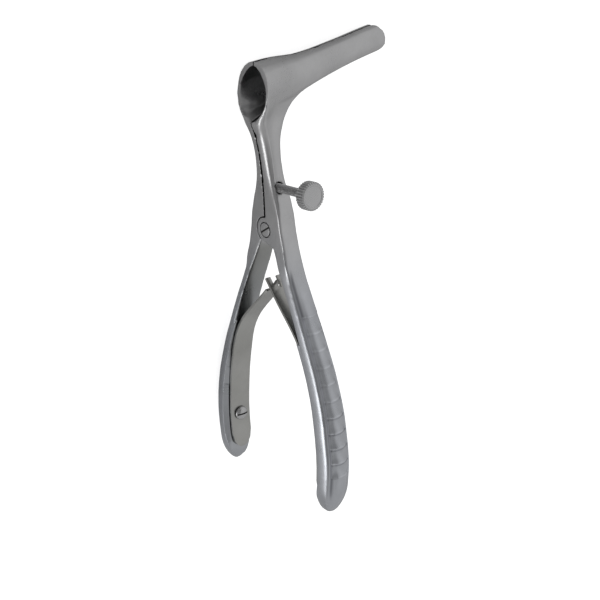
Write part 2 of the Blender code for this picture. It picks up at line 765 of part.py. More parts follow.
def build_set_screw(steel):
    # The knurl's teeth are the ring's own corners, so the stem has as many.
    start = seam_gap / 2 + set_tip_standoff
    end = set_head_start + set_head_thickness
    steps = 2 * knurl_count
    stem = [set_stem_radius] * steps
    teeth = [set_head_radius - knurl_depth * (i % 2) for i in range(steps)]
    face = [radius - set_head_chamfer for radius in teeth]
    rings = [
        (start, [0.3 * radius for radius in stem]),
        (start, [0.8 * radius for radius in stem]),
        (start + 0.2 * set_stem_radius, stem),
        (set_head_start, stem),
        (set_head_start, face),
        (set_head_start + set_head_chamfer, teeth),
        (end - set_head_chamfer, teeth),
        (end, face),
        (end, [0.3 * radius for radius in face]),
    ]
    sections = []
    for x, radii in rings:
        turns = [math.tau * i / steps for i in range(steps)]
        spokes = [(radius * math.cos(a), radius * math.sin(a)) for radius, a in zip(radii, turns)]
        sections.append([Vector((x, y, set_height + z)) for y, z in spokes])
    return add_object("set_screw", loft(sections), steel)


def build_spring_screw(side, steel):
    name = "right" if side > 0 else "left"
    face = inner_face(below(leaf_screw_drop))
    seat = face - leaf_thickness - 2 * seat_gap
    end = face + leaf_screw_depth
    top = seat - leaf_screw_head_height
    dome = leaf_screw_head_height - leaf_screw_edge_height
    profile = [
        (0.3 * leaf_screw_stem_radius, end),
        (leaf_screw_stem_radius - 2 * screw_rim, end),
        (leaf_screw_stem_radius, end - 2 * screw_rim),
        (leaf_screw_stem_radius, seat),
        (leaf_screw_head_radius, seat),
    ]
    for degrees in (0, 25, 50, 72):
        turn = math.radians(degrees)
        profile.append((leaf_screw_head_radius * math.cos(turn), top + dome * (1 - math.sin(turn))))
    built = turned([(radius, -height) for radius, height in profile], screw_steps)
    flip = Matrix.Rotation(0 if side > 0 else math.pi, 4, "Z")
    to_side = Matrix.Rotation(-math.pi / 2, 4, "Y")
    place = Matrix.Translation((0.0, 0.0, below(leaf_screw_drop))) @ flip @ to_side
    bmesh.ops.transform(built, matrix=place, verts=built.verts)
    screw = add_object(f"{name}_spring_screw", built, steel)
    size = (leaf_screw_slot_width, 3 * leaf_screw_head_radius, 2 * leaf_screw_slot_depth)
    slot = block(f"{name}_screw_slot", size, place @ Matrix.Translation((0.0, 0.0, -top)))
    boolean(screw, slot, "DIFFERENCE")
    return screw


def bake(made, origin=Vector()):
    # Keeps the cut mesh in metres, drops its modifiers, and sets the origin on the piece's own axis.
    graph = bpy.context.evaluated_depsgraph_get()
    mesh = bpy.data.meshes.new_from_object(made.evaluated_get(graph))
    cut = bmesh.new()
    cut.from_mesh(mesh)
    bmesh.ops.remove_doubles(cut, verts=cut.verts, dist=merge_distance)
    cut.to_mesh(mesh)
    cut.free()
    mesh.transform(Matrix.Scale(METRES, 4) @ Matrix.Translation(-origin))
    mesh.name = made.name
    made.modifiers.clear()
    made.data = mesh
    made.location = METRES * origin
    shade_round(made)


def solid_centre(pieces):
    # Centre of volume of all pieces, from the tetrahedra that their triangles make with the origin.
    volume, moment = 0.0, Vector()
    for piece in pieces:
        mesh = piece.data
        mesh.calc_loop_triangles()
        for triangle in mesh.loop_triangles:
            a, b, c = (mesh.vertices[i].co + piece.location for i in triangle.vertices)
            part = a.dot(b.cross(c)) / 6
            volume += part
            moment += part * (a + b + c) / 4
    return moment / volume


def is_over(face, centre):
    # True where the centre of mass stands over this hull face.
    corners = [vert.co for vert in face.verts]
    normal = face.normal
    for a, b in zip(corners, corners[1:] + corners[:1]):
        if (b - a).cross(centre - a).dot(normal) < 0:
            return False
    return True


def resting_place(pieces):
    # Lays the instrument left side down on the hull face under its centre of mass, blades along +X and
    # its long axis along +Y, with the middle of its bounding box over the origin.
    points = [vert.co + piece.location for piece in pieces for vert in piece.data.vertices]
    hull = bmesh.new()
    for point in points:
        if point.x < 0:
            hull.verts.new(point)
    bmesh.ops.convex_hull(hull, input=hull.verts)
    hull.normal_update()
    centre = solid_centre(pieces)
    under = [face for face in hull.faces if face.normal.x < steepest_rest and is_over(face, centre)]
    down = max(under, key=lambda face: face.calc_area()).normal.copy()
    hull.free()
    lay = Matrix(((0, 1, 0), (0, 0, 1), (1, 0, 0)))
    turn = (lay @ down).rotation_difference(Vector((0, 0, -1))).to_matrix() @ lay
    along = turn @ Vector((0, 0, 1))
    turn = Matrix.Rotation(math.atan2(along.x, along.y), 3, "Z") @ turn
    placed = np.array([turn @ point for point in points])
    low, high = placed.min(axis=0), placed.max(axis=0)
    shift = Vector((-0.5 * (low[0] + high[0]), -0.5 * (low[1] + high[1]), -low[2]))
    return Matrix.Translation(shift) @ turn.to_4x4()


for old in list(bpy.data.objects):
    bpy.data.objects.remove(old)

arm_steel = material("satin_arm_steel", (0.56, 0.56, 0.56), 0.38)
leaf_steel = material("leaf_steel", (0.5, 0.5, 0.49), 0.36)
screw_steel = material("screw_steel", (0.6, 0.6, 0.59), 0.32)

tip_outline("tip_outline")
on_leaf_axis = Vector((0.0, 0.0, -leaf_screw_drop))
pieces = {
    "left_arm": (build_arm(-1, arm_steel), Vector()),
    "right_arm": (build_arm(1, arm_steel), Vector()),
    "left_spring": (build_spring(-1, leaf_steel), Vector()),
    "right_spring": (build_spring(1, leaf_steel), Vector()),
    "pivot_screw": (build_pivot_screw(screw_steel), Vector()),
    "set_screw": (build_set_screw(screw_steel), Vector((0.0, 0.0, set_height))),
    "left_spring_screw": (build_spring_screw(-1, screw_steel), on_leaf_axis),
    "right_spring_screw": (build_spring_screw(1, screw_steel), on_leaf_axis),
}
for piece, origin in pieces.values():
    bake(piece, origin)
for tool in [made for made in bpy.data.objects if made.hide_render]:
    bpy.data.objects.remove(tool)

# The empty stands on the pivot, so both arms turn about its own Y axis.
rest = bpy.data.objects.new("rest_on_left_side", None)
bpy.context.scene.collection.objects.link(rest)
rest.matrix_world = resting_place([piece for piece, origin in pieces.values()])
for piece, origin in pieces.values():
    piece.parent = rest
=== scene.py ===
import json
import math

import bmesh
import bpy
import numpy as np
from mathutils import Matrix, Vector
from mathutils.bvhtree import BVHTree
from mathutils.kdtree import KDTree


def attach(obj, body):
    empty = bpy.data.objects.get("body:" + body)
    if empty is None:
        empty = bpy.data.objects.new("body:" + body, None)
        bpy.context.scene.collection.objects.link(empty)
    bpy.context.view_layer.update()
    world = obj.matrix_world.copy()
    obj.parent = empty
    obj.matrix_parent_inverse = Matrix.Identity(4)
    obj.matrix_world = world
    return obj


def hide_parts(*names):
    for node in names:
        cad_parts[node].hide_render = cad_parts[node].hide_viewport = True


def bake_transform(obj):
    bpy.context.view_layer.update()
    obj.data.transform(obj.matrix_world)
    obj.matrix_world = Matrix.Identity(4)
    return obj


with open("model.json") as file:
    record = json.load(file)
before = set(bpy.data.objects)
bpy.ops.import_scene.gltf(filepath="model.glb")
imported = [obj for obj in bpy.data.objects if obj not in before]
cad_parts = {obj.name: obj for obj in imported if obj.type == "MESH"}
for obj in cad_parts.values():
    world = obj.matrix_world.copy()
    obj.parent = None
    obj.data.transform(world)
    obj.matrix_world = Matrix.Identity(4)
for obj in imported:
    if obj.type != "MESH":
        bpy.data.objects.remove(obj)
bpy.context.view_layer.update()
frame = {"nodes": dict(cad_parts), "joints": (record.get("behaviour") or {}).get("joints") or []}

mm = 0.001

# The speculum's own axes, read from its joints: opens = toward the right arm, rear = away from the user,
# up = from the handles to the blades
joints = {joint["name"]: joint for joint in frame["joints"]}
pivot = Vector(joints["arm_pivot"]["pos_m"])
rear = Vector(joints["arm_pivot"]["axis"]).normalized()
opens = Vector(joints["set_screw_feed"]["axis"]).normalized()
up = opens.cross(rear)
toWorld = Matrix.Translation(pivot) @ Matrix((opens, rear, up)).transposed().to_4x4()
toTool = toWorld.inverted()


def toolPoint(x, y, z):
    return toWorld @ (Vector((x, y, z)) * mm)


def toolReach(nodeName):      # lowest and highest corner of a node in the speculum's own axes, mm
    points = [toTool @ vert.co for vert in frame["nodes"][nodeName].data.vertices]
    low = Vector([min(point[i] for point in points) for i in range(3)]) / mm
    high = Vector([max(point[i] for point in points) for i in range(3)]) / mm
    return low, high


def selectNothing():
    if bpy.context.object and bpy.context.object.mode != "OBJECT":
        bpy.ops.object.mode_set(mode="OBJECT")
    bpy.ops.object.select_all(action="DESELECT")


def selectOnly(piece):
    selectNothing()
    piece.select_set(True)
    bpy.context.view_layer.objects.active = piece


def applyPlace(piece):
    selectOnly(piece)
    bpy.ops.object.transform_apply(location=True, rotation=True, scale=True)


def applyModifier(piece, kind, **settings):
    selectOnly(piece)
    modifier = piece.modifiers.new(kind.title(), kind)
    for name, value in settings.items():
        setattr(modifier, name, value)
    bpy.ops.object.modifier_apply(modifier=modifier.name)


def mergedCopy(nodeName, pieceName):
    source = frame["nodes"][nodeName]
    piece = source.copy()
    piece.data = source.data.copy()
    piece.name = piece.data.name = pieceName
    piece.parent = None
    bpy.context.scene.collection.objects.link(piece)
    piece.matrix_world = Matrix.Identity(4)
    piece.data.materials.clear()
    selectOnly(piece)
    bpy.ops.object.mode_set(mode="EDIT")
    bpy.ops.mesh.select_all(action="SELECT")
    bpy.ops.mesh.remove_doubles(threshold=0.000002)
    bpy.ops.object.mode_set(mode="OBJECT")
    return piece


def pickFaces(piece, test):
    # Selects in edit mode the faces whose centre and normal pass the test
    bpy.ops.object.mode_set(mode="OBJECT")
    for item in (*piece.data.vertices, *piece.data.edges, *piece.data.polygons):
        item.select = False
    for face in piece.data.polygons:
        face.select = test(face.center / mm, face.normal)
    bpy.ops.object.mode_set(mode="EDIT")
    bpy.ops.mesh.select_mode(type="FACE")


def turnedPiece(name, steps, outline):
    # A lathe-turned piece along Z: a disc that is extruded and scaled from one (radius, height) to the next
    selectNothing()
    radius, height = outline[0]
    place = (0, 0, height * mm)
    bpy.ops.mesh.primitive_circle_add(vertices=steps, radius=radius * mm, fill_type="NGON", location=place)
    piece = bpy.context.object
    piece.name = piece.data.name = name
    applyPlace(piece)
    bpy.ops.object.mode_set(mode="EDIT")
    bpy.ops.mesh.select_all(action="SELECT")
    for nextRadius, nextHeight in outline[1:]:
        lift = (0, 0, (nextHeight - height) * mm)
        bpy.ops.mesh.extrude_region_move(TRANSFORM_OT_translate={"value": lift})
        grow = nextRadius / radius
        centre = (0, 0, nextHeight * mm)
        bpy.ops.transform.resize(value=(grow, grow, 1), center_override=centre)
        radius, height = nextRadius, nextHeight
    bpy.ops.mesh.select_all(action="SELECT")
    bpy.ops.mesh.normals_make_consistent(inside=False)
    bpy.ops.object.mode_set(mode="OBJECT")
    return piece


def cutSlot(piece, slot, top, turn):
    # A straight screwdriver slot across the top of a turned head; the fine break on its edges comes after, from
    # softenEdges
    selectNothing()
    bpy.ops.mesh.primitive_cube_add(size=1, location=(0, 0, top * mm), rotation=(0, 0, math.radians(turn)))
    cutter = bpy.context.object
    cutter.scale = (slot["length"] * mm, slot["width"] * mm, 2 * slot["depth"] * mm)
    applyPlace(cutter)
    applyModifier(piece, "BOOLEAN", object=cutter, operation="DIFFERENCE", solver="EXACT")
    bpy.data.objects.remove(cutter)
    piece.data.materials.clear()
    piece.data.materials.append(screwSteel)
    piece.data.materials.append(paintedSlotShade)
    # faces inside the slot near the top take the painted slot shade
    across = Vector((-math.sin(math.radians(turn)), math.cos(math.radians(turn)), 0))
    for face in piece.data.polygons:
        between = abs(face.center.dot(across)) < 0.51 * slot["width"] * mm
        nearTop = face.center.z > (top - 1.1 * slot["depth"]) * mm
        face.material_index = 1 if between and nearTop else 0


def softenEdges(piece, width, angle, segments=2):
    applyModifier(
        piece, "BEVEL", width=width * mm, segments=segments, limit_method="ANGLE",
        angle_limit=math.radians(angle), use_clamp_overlap=True,
    )
    selectOnly(piece)
    bpy.ops.object.shade_smooth_by_angle(angle=math.radians(30))


def putOnTool(piece, place, turn):
    # From the lathe's axes to its place on the speculum
    piece.matrix_world = toWorld @ Matrix.Translation(Vector(place) * mm) @ turn
    applyPlace(piece)


def finishPiece(piece, looks, body, slotName, *nodeNames):
    for i, look in enumerate(looks):
        if i < len(piece.data.materials):
            piece.data.materials[i] = look
        else:
            piece.data.materials.append(look)
    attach(piece, body)
    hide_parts(*nodeNames)


# Steel. Every finish shares the brushed grain and the slow cloudiness of hand polish, and the arms add a bluer grip,
# painted shade and painted highlights
noises = {      # scale, detail and roughness of each noise
    "fineLines": (5200, 2.0, 0.6), "coarseLines": (1500, 3.0, 0.65),
    "patches": (110, 3.0, 0.55), "speckle": (1700, 4.0, 0.75),
}
marks = {       # heights above the pivot and distances from the middle in mm, and how far a face is turned
    "gripHeights": (5, -25),
    # where the painted shade on the inner faces lies
    "insideTurns": (-0.25, -0.85), "insideHeights": (-2, -7),
    "nearLock": (-60, -6), "farFromLock": 0.25,      # the inner faces take more painted shade toward the lock
    # where the painted shade in the seam lies: distance from the middle and how far a face turns across
    "seamDistances": (0.9, 0.6), "seamTurns": (0.35, 0.75),
}


def newGroup(name, inputs, outputs):
    group = bpy.data.node_groups.new(name, "ShaderNodeTree")
    for socketName, kind, value in inputs:
        socket = group.interface.new_socket(socketName, in_out="INPUT", socket_type=kind)
        if value is not None:
            socket.default_value = value
    for socketName, kind in outputs:
        group.interface.new_socket(socketName, in_out="OUTPUT", socket_type=kind)
    return group, group.nodes.new("NodeGroupInput"), group.nodes.new("NodeGroupOutput")


def addMath(nodes, links, operation, first, second):
    node = nodes.new("ShaderNodeMath")
    node.operation = operation
    for i, value in enumerate((first, second)):
        if isinstance(value, (int, float)):
            node.inputs[i].default_value = value
        else:
            links.new(value, node.inputs[i])
    return node.outputs[0]


def addNoise(nodes, links, vector, noise):
    scale, detail, roughness = noises[noise]
    node = nodes.new("ShaderNodeTexNoise")
    node.inputs["Scale"].default_value = scale
    node.inputs["Detail"].default_value = detail
    node.inputs["Roughness"].default_value = roughness
    links.new(vector, node.inputs["Vector"])
    return node.outputs["Fac"]


def addMix(nodes, links, share, first, second):
    node = nodes.new("ShaderNodeMix")
    node.data_type = "RGBA"
    links.new(share, node.inputs["Factor"])
    for name, value in (("A", first), ("B", second)):
        if isinstance(value, tuple):
            node.inputs[name].default_value = (*value, 1.0)
        else:
            links.new(value, node.inputs[name])
    return node.outputs["Result"]


def addTint(nodes, links, colour, tint):
    node = nodes.new("ShaderNodeMix")
    node.data_type = "RGBA"
    node.blend_type = "MULTIPLY"
    node.inputs["Factor"].default_value = 1.0
    links.new(colour, node.inputs["A"])
    node.inputs["B"].default_value = (*tint, 1.0)
    return node.outputs["Result"]


def addRamp(nodes, links, value, low, high, start=0.0, end=1.0):
    node = nodes.new("ShaderNodeMapRange")
    node.interpolation_type = "SMOOTHSTEP"
    links.new(value, node.inputs["Value"])
    for name, number in (("From Min", low), ("From Max", high), ("To Min", start), ("To Max", end)):
        node.inputs[name].default_value = number
    return node.outputs["Result"]


def addAlong(nodes, links, vector, axis):
    node = nodes.new("ShaderNodeVectorMath")
    node.operation = "DOT_PRODUCT"
    links.new(vector, node.inputs[0])
    node.inputs[1].default_value = axis
    return node.outputs["Value"]


def makeBrushedGrain():
    # Fine polishing lines: noise drawn out along the stroke. Lines is about 0 to 1 around 0.5
    inputs = [("Stroke Coordinates", "NodeSocketVector", None), ("Depth", "NodeSocketFloat", 1.0)]
    outputs = [("Lines", "NodeSocketFloat"), ("Height", "NodeSocketFloat")]
    group, start, end = newGroup("brushedGrain", inputs, outputs)
    nodes, links = group.nodes, group.links
    fine = addNoise(nodes, links, start.outputs["Stroke Coordinates"], "fineLines")
    coarse = addNoise(nodes, links, start.outputs["Stroke Coordinates"], "coarseLines")
    halfFine = addMath(nodes, links, "MULTIPLY", fine, 0.5)
    lines = addMath(nodes, links, "ADD", halfFine, addMath(nodes, links, "MULTIPLY", coarse, 0.5))
    links.new(lines, end.inputs["Lines"])
    links.new(addMath(nodes, links, "MULTIPLY", lines, start.outputs["Depth"]), end.inputs["Height"])
    return group


def makePolishCloud():
    # Slow uneven patches left by hand polishing, with a fine speckle. Both are about 0 to 1 around 0.5
    inputs = [("Coordinates", "NodeSocketVector", None)]
    outputs = [("Patches", "NodeSocketFloat"), ("Speckle", "NodeSocketFloat")]
    group, start, end = newGroup("polishCloud", inputs, outputs)
    nodes, links = group.nodes, group.links
    patches = addNoise(nodes, links, start.outputs["Coordinates"], "patches")
    speckle = addNoise(nodes, links, start.outputs["Coordinates"], "speckle")
    links.new(patches, end.inputs["Patches"])
    links.new(speckle, end.inputs["Speckle"])
    return group


def inMetres(pair):
    return pair[0] * mm, pair[1] * mm


def makeGripTintAndPaintedShade():
    # Tints on the arms: the grip a little bluer, painted shade on the inner faces, and painted shade in the seam
    inputs = [("Coordinates", "NodeSocketVector", None), ("Normal", "NodeSocketVector", None)]
    outputs = [("Grip", "NodeSocketFloat"), ("Inside", "NodeSocketFloat"), ("Seam", "NodeSocketFloat")]
    group, start, end = newGroup("gripTintAndPaintedShade", inputs, outputs)
    nodes, links = group.nodes, group.links
    aside = addAlong(nodes, links, start.outputs["Coordinates"], (1, 0, 0))
    height = addAlong(nodes, links, start.outputs["Coordinates"], (0, 0, 1))
    facing = addAlong(nodes, links, start.outputs["Normal"], opens)
    distance = addMath(nodes, links, "ABSOLUTE", aside, 0.0)
    inward = addMath(nodes, links, "MULTIPLY", facing, addMath(nodes, links, "SIGN", aside, 0.0))
    links.new(addRamp(nodes, links, height, *inMetres(marks["gripHeights"])), end.inputs["Grip"])
    # painted shade on faces turned toward the other arm, low on the arm and strongest toward the lock
    hidden = addRamp(nodes, links, inward, *marks["insideTurns"])
    low = addRamp(nodes, links, height, *inMetres(marks["insideHeights"]))
    nearLock = addRamp(nodes, links, height, *inMetres(marks["nearLock"]), marks["farFromLock"], 1.0)
    below = addMath(nodes, links, "MULTIPLY", low, nearLock)
    links.new(addMath(nodes, links, "MULTIPLY", hidden, below), end.inputs["Inside"])
    # painted shade in the seam between the two arms
    close = addRamp(nodes, links, distance, *inMetres(marks["seamDistances"]))
    across = addRamp(nodes, links, addMath(nodes, links, "ABSOLUTE", facing, 0.0), *marks["seamTurns"])
    links.new(addMath(nodes, links, "MULTIPLY", close, across), end.inputs["Seam"])
    return group


brushedGrain = makeBrushedGrain()
polishCloud = makePolishCloud()
gripTintAndPaintedShade = makeGripTintAndPaintedShade()


def steelMaterial(name, look):
    made = bpy.data.materials.new(name)
    made.use_nodes = True
    nodes, links = made.node_tree.nodes, made.node_tree.links
    shader = nodes["Principled BSDF"]
    shader.inputs["Metallic"].default_value = 1.0
    coords = nodes.new("ShaderNodeTexCoord")
    toAxes = nodes.new("ShaderNodeMapping")      # into the speculum's axes, whatever way it lies
    toAxes.vector_type = "POINT"
    toAxes.inputs["Location"].default_value = toTool.translation
    toAxes.inputs["Rotation"].default_value = toTool.to_euler()
    links.new(coords.outputs["Object"], toAxes.inputs["Vector"])
    stroke = nodes.new("ShaderNodeMapping")
    stroke.inputs["Rotation"].default_value = [math.radians(angle) for angle in look["strokeTurn"]]
    stroke.inputs["Scale"].default_value = look["stroke"]
    links.new(toAxes.outputs[0], stroke.inputs["Vector"])
    grain = nodes.new("ShaderNodeGroup")
    grain.node_tree = brushedGrain
    grain.inputs["Depth"].default_value = look["grainDepth"]
    links.new(stroke.outputs[0], grain.inputs["Stroke Coordinates"])
    cloud = nodes.new("ShaderNodeGroup")
    cloud.node_tree = polishCloud
    links.new(toAxes.outputs[0], cloud.inputs["Coordinates"])

    shade = nodes.new("ShaderNodeMapRange")      # patches and speckle darken or lighten the steel a little
    speckled = addMath(nodes, links, "MULTIPLY", cloud.outputs["Speckle"], look["speckle"])
    links.new(addMath(nodes, links, "ADD", cloud.outputs["Patches"], speckled), shade.inputs["Value"])
    shade.inputs["From Min"].default_value = 0.25 * (1 + look["speckle"])
    shade.inputs["From Max"].default_value = 0.75 * (1 + look["speckle"])
    steel = addMix(nodes, links, shade.outputs["Result"], look["dark"], look["light"])
    if look["hasTintAndPaintedShading"]:
        tintAndPaintedShading = nodes.new("ShaderNodeGroup")
        tintAndPaintedShading.node_tree = gripTintAndPaintedShade
        links.new(toAxes.outputs[0], tintAndPaintedShading.inputs["Coordinates"])
        links.new(coords.outputs["Normal"], tintAndPaintedShading.inputs["Normal"])
        steel = addMix(nodes, links, tintAndPaintedShading.outputs["Grip"], steel, addTint(nodes, links, steel, look["gripTint"]))
        # painted shade on the inner faces
        steel = addMix(nodes, links, tintAndPaintedShading.outputs["Inside"], steel, addTint(nodes, links, steel, look["paintedInsideShadeTint"]))
        # painted shade in the seam
        steel = addMix(nodes, links, tintAndPaintedShading.outputs["Seam"], steel, look["paintedSeamShade"])
        # painted highlight and painted shade on the grip, read from the skin's point attribute
        paintedShadingAttribute = nodes.new("ShaderNodeAttribute")
        paintedShadingAttribute.attribute_name = "paintedHighlightAndShade"
        paintedHighlight = addRamp(nodes, links, paintedShadingAttribute.outputs["Fac"], 0.0, 1.0)
        paintedShade = addRamp(nodes, links, paintedShadingAttribute.outputs["Fac"], 0.0, -1.0)
        steel = addMix(nodes, links, paintedHighlight, steel, addTint(nodes, links, steel, look["paintedHighlightTint"]))
        steel = addMix(nodes, links, paintedShade, steel, addTint(nodes, links, steel, look["paintedShadeTint"]))
    links.new(steel, shader.inputs["Base Color"])

    rough = nodes.new("ShaderNodeMapRange")
    low, high = look["roughness"]
    rough.inputs["From Min"].default_value = 0.3
    rough.inputs["From Max"].default_value = 0.7
    rough.inputs["To Min"].default_value = low
    rough.inputs["To Max"].default_value = high
    halfLines = addMath(nodes, links, "MULTIPLY", grain.outputs["Lines"], 0.5)
    halfPatches = addMath(nodes, links, "MULTIPLY", cloud.outputs["Patches"], 0.5)
    links.new(addMath(nodes, links, "ADD", halfLines, halfPatches), rough.inputs["Value"])
    links.new(rough.outputs["Result"], shader.inputs["Roughness"])

    bump = nodes.new("ShaderNodeBump")
    bump.inputs["Strength"].default_value = look["bump"]
    bump.inputs["Distance"].default_value = look["bumpDistance"] * mm
    links.new(grain.outputs["Height"], bump.inputs["Height"])
    links.new(bump.outputs["Normal"], shader.inputs["Normal"])
    return made


steelLooks = {
    "arm": {
        "dark": (0.44, 0.44, 0.445), "light": (0.57, 0.57, 0.575), "roughness": (0.25, 0.35), "speckle": 0.4,
        "stroke": (1.0, 1.0, 0.16), "strokeTurn": (0, 0, 0), "grainDepth": 1.0, "bump": 0.3, "bumpDistance": 0.02,
        # the inside and seam colours are painted shade; the last two tints are a painted highlight and painted shade
        # on the grip
        "hasTintAndPaintedShading": True, "gripTint": (0.97, 1.0, 1.05), "paintedInsideShadeTint": (0.62, 0.62, 0.585), "paintedSeamShade": (0.05, 0.05, 0.05),
        "paintedHighlightTint": (1.3, 1.3, 1.3), "paintedShadeTint": (0.55, 0.55, 0.57),
    },
    "leaf": {
        "dark": (0.36, 0.36, 0.345), "light": (0.47, 0.47, 0.455), "roughness": (0.26, 0.36), "speckle": 0.3,
        "stroke": (1.0, 0.2, 1.0), "strokeTurn": (0, 0, 0), "grainDepth": 1.0, "bump": 0.3, "bumpDistance": 0.02,
        "hasTintAndPaintedShading": False,
    },
    "screw": {
        "dark": (0.47, 0.47, 0.475), "light": (0.54, 0.54, 0.545), "roughness": (0.25, 0.31), "speckle": 0.06,
        "stroke": (1.0, 0.5, 0.5), "strokeTurn": (0, 0, 0), "grainDepth": 1.0, "bump": 0.05, "bumpDistance": 0.015,
        "hasTintAndPaintedShading": False,
    },
    "slot": {      # painted shade in a screw's slot
        "dark": (0.03, 0.03, 0.03), "light": (0.09, 0.09, 0.085), "roughness": (0.5, 0.7), "speckle": 0.6,
        "stroke": (1.0, 1.0, 1.0), "strokeTurn": (0, 0, 0), "grainDepth": 1.0, "bump": 0.3, "bumpDistance": 0.02,
        "hasTintAndPaintedShading": False,
    },
}
armSteel = steelMaterial("satinArmSteel", steelLooks["arm"])
leafSteel = steelMaterial("leafSteel", steelLooks["leaf"])
screwSteel = steelMaterial("screwSteel", steelLooks["screw"])
paintedSlotShade = steelMaterial("paintedSlotShade", steelLooks["slot"])
print("steel looks done")

# Arms: the forged skin, polished smooth between its crisp edges
armSkin = {
    "octree": 9,
    "fill": 0.99,
    "crispAngle": 38,      # edges sharper than this stay crisp
    "ridgeAngle": 12,      # ridges across the handle's thumb grooves
    "ridges": (-71 * mm, -20 * mm),
    "sliver": 0.02 * mm, "shortest": 0.05 * mm,      # thinner faces and shorter edges aren't looked at
    "pointStep": 0.25 * mm,
    "funnelFrom": 26.0, "wall": 0.85 * mm,      # the funnel's wall must be three grid steps thick to stay whole
    "shank": (9.0, 15.0, 26.0, 33.0),           # heights where the front edge is blended more softly
    "shankGap": 1.6 * mm, "shankPasses": 140,
    "keepNear": 0.6 * mm,
    "crispWithin": 0.35 * mm,
    "passes": 30, "allPasses": 2,      # away from the edges, then everywhere
    "shadeAngle": 34,
}


def crispEdgePoints(piece):
    points = []
    shape = bmesh.new()
    shape.from_mesh(piece.data)
    lowest, highest = armSkin["ridges"]
    for edge in shape.edges:
        if len(edge.link_faces) != 2:
            continue
        longest = max(side.calc_length() for face in edge.link_faces for side in face.edges)
        if min(face.calc_area() for face in edge.link_faces) < armSkin["sliver"] * longest:
            continue      # the normal of a sliver says nothing
        angle = math.degrees(edge.calc_face_angle(0.0))
        a, b = (vert.co for vert in edge.verts)
        along = b - a
        if along.length < armSkin["shortest"]:
            continue
        across = abs(along.normalized().dot(rear)) > 0.8
        ridge = angle > armSkin["ridgeAngle"] and across and lowest < (toTool @ ((a + b) / 2)).z < highest
        if angle > armSkin["crispAngle"] or ridge:
            steps = max(2, int(along.length / armSkin["pointStep"]))
            points += [a.lerp(b, i / steps) for i in range(steps + 1)]
    shape.free()
    return points


# The grip: its front is ground to a slope that ends in a fine line where the thumb grooves begin
grip = {
    "insideFrom": (7.5, 10.5),      # the inner edges are fine from just below the lock
    "top": -8.0, "whole": -14.0, "fadeOut": (-71.0, -78.0),      # heights of the slope's start, full size and end
    "forgedRadius": 0.9, "innerBreak": 0.08,      # the grinding leaves a finer inner edge than the forging's
    "forward": 0.3, "drop": 1.25, "dropPower": 1.9,      # the front swells at its inner side and falls away outward
    "thickness": 5.4,
    "firstRidge": -22.6, "ridgePitch": 4.57, "grooves": 10, "deepen": 1.25,
    "step": {"depth": 0.22, "length": 0.55},     # each groove starts with a small step under its ridge
    "upperStep": 0.3, "lowerGrooves": (3.5, 7.0),      # the upper ridges are worn flatter
    "line": {"from": 1.4, "depth": 0.1, "halfWidth": 0.42},
    "frontReach": 3.2,                           # how far behind the front the slope is still felt
    # strengths of the painted highlight on ridges and lip, and of the painted shade in the hollows and the line
    "tintAndPaintedShading": {"ridge": 0.75, "hollow": 0.9, "hollowFrom": 0.45, "lipHighlight": 0.45, "lipFrom": 0.75, "line": 1.0},
}


def sCurve(value, low, high):
    share = np.clip((value - low) / (high - low), 0, 1)
    return share * share * (3 - 2 * share)


def bell(value, middle, halfWidth):
    return np.exp(-(((value - middle) / halfWidth) ** 2))


def reshapeCorner(across, inset, radius, wanted):
    # Points of a corner that was broken to radius move onto a break of the wanted radius
    inside = (across < radius) & (inset < radius)
    reach = np.maximum(np.hypot(radius - across, radius - inset), 1e-9)
    newAcross = wanted - wanted * (radius - across) / reach
    newInset = wanted - wanted * (radius - inset) / reach
    return np.where(inside, newAcross, across), np.where(inside, newInset, inset)


